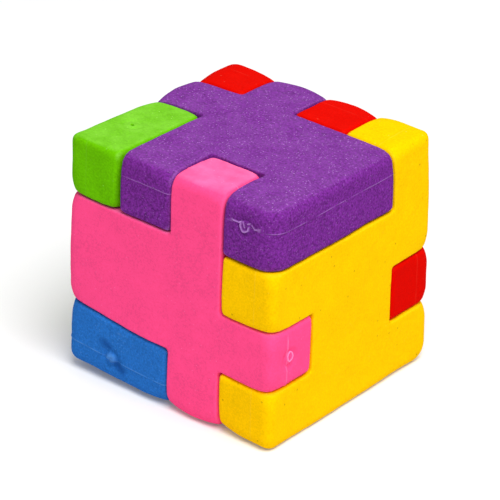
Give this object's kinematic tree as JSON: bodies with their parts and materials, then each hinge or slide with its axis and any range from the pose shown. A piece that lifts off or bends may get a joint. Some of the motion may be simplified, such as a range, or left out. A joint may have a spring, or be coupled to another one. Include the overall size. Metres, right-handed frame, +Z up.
{
  "type": "puzzle cube eraser",
  "caption": "Small rubber eraser shaped as a closed cube, built from flat coloured panels whose notched edges interlock.",
  "frame": {"origin": "centre of the cube's square footprint, on the surface that it stands on", "axes": "+Z up out of the purple panel, -Y out of the pink panel, +X out of the yellow panel"},
  "size_m": [0.032, 0.032, 0.032],
  "materials": {
    "purple_rubber": "matte",
    "pink_rubber": "matte",
    "yellow_rubber": "matte",
    "red_rubber": "matte",
    "green_rubber": "matte",
    "blue_rubber": "matte"
  },
  "bodies": {
    "root": {"purple_top_piece": "purple_rubber", "pink_front_piece": "pink_rubber", "yellow_right_piece": "yellow_rubber", "red_back_piece": "red_rubber", "green_left_piece": "green_rubber", "blue_bottom_piece": "blue_rubber"}
  },
  "joints": []
}
